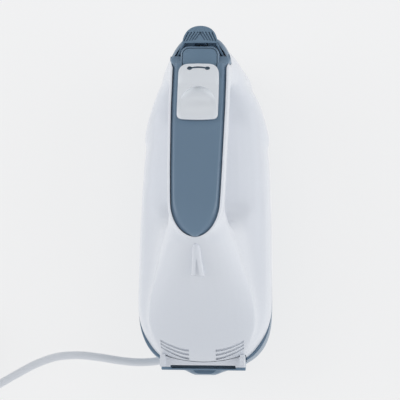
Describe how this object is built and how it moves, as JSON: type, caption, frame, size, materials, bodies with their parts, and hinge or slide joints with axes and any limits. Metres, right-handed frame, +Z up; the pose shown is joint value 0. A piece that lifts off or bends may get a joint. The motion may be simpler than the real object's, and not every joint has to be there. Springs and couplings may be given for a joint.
{
  "type": "hand mixer",
  "caption": "Corded hand mixer with a bridge handle, thumb slider, press-down eject tongue, geared motor, two beater sockets and a heel rest.",
  "frame": {"origin": "centre of the footprint of the mixer without its cord, on the surface it stands on", "axes": "+Z up out of the handle, +Y along the body towards the eject tongue, +X to the right of the handle seen from above with the nose ahead"},
  "size_m": [0.269, 0.2323, 0.136],
  "materials": {
    "white_abs": "moulded, semi-gloss",
    "blue_grey_abs": "moulded, satin",
    "acetal": "moulded, natural",
    "steel": "ground",
    "black_nylon": "moulded",
    "lamination": "varnished sheet stack",
    "copper": "enamelled wire",
    "brass": "turned",
    "bronze": "sintered",
    "alloy": "die cast",
    "carbon": "pressed carbon",
    "board": "paper laminate",
    "white_pvc": "extruded, soft"
  },
  "bodies": {
    "housing": {"upper_housing": "white_abs", "handle_grip": "white_abs", "heel_rest": "white_abs", "top_cover": "blue_grey_abs", "lower_housing": "blue_grey_abs", "heel_pad": "blue_grey_abs", "scale_panel": "blue_grey_abs", "socket_collar_left": "acetal", "socket_collar_right": "acetal", "housing_screw_1": "steel", "housing_screw_2": "steel", "housing_screw_3": "steel", "housing_screw_4": "steel", "lever_pin": "steel", "ejector_spring": "steel", "slide_switch": "black_nylon", "cord_tie": "black_nylon", "stator_core": "lamination", "field_coil_upper": "copper", "field_coil_lower": "copper", "brush_holder_left": "brass", "brush_holder_right": "brass", "plug_pin_left": "brass", "plug_pin_right": "brass", "bush_lower_left": "bronze", "bush_lower_right": "bronze", "bush_upper_left": "bronze", "bush_upper_right": "bronze", "front_bearing": "bronze", "rear_bearing": "bronze", "gear_frame": "alloy", "motor_bracket": "alloy", "carbon_brush_left": "carbon", "carbon_brush_right": "carbon", "control_board": "board", "strain_relief": "white_pvc", "mains_cord": "white_pvc", "cord_coil": "white_pvc", "cord_tail": "white_pvc", "plug_body": "white_pvc"},
    "slider": {"speed_slider": "white_abs", "slider_carrier": "acetal"},
    "lever": {"eject_lever": "blue_grey_abs"},
    "ejector": {"ejector_yoke": "acetal"},
    "rotor": {"motor_shaft": "steel", "armature_core": "lamination", "armature_winding_rear": "copper", "armature_winding_front": "copper", "commutator": "copper", "cooling_fan": "black_nylon", "worm": "brass"},
    "drive_left": {"spindle_left": "steel", "worm_gear_left": "acetal"},
    "drive_right": {"spindle_right": "steel", "worm_gear_right": "acetal"}
  },
  "joints": [
    {"name": "speed_slide", "type": "slide", "parent": "housing", "child": "slider", "axis": [0, 0.9889, -0.1483], "range_m": [0, 0.0125]},
    {"name": "eject_press", "type": "hinge", "parent": "housing", "child": "lever", "pos_m": [0, 0.0855, 0.102], "axis": [-1, 0, 0], "range_deg": [0, 18], "stiffness_Nm_per_rad": 0.2},
    {"name": "eject_drop", "type": "slide", "parent": "housing", "child": "ejector", "axis": [0, 0, -1], "range_m": [0, 0.0024], "deforming": ["ejector_spring"]},
    {"name": "rotor_spin", "type": "hinge", "parent": "housing", "child": "rotor", "pos_m": [0, 0, 0.036], "axis": [0, 1, 0], "continuous": true},
    {"name": "spindle_left_spin", "type": "hinge", "parent": "housing", "child": "drive_left", "pos_m": [-0.018, 0.047, 0], "axis": [0, 0, 1], "continuous": true},
    {"name": "spindle_right_spin", "type": "hinge", "parent": "housing", "child": "drive_right", "pos_m": [0.018, 0.047, 0], "axis": [0, 0, 1], "continuous": true}
  ],
  "couplings": [
    {"joint": "eject_drop", "follows": "eject_press", "m_per_rad": 0.0075},
    {"joint": "spindle_right_spin", "follows": "rotor_spin", "ratio": 0.035714},
    {"joint": "spindle_left_spin", "follows": "rotor_spin", "ratio": -0.035714}
  ]
}
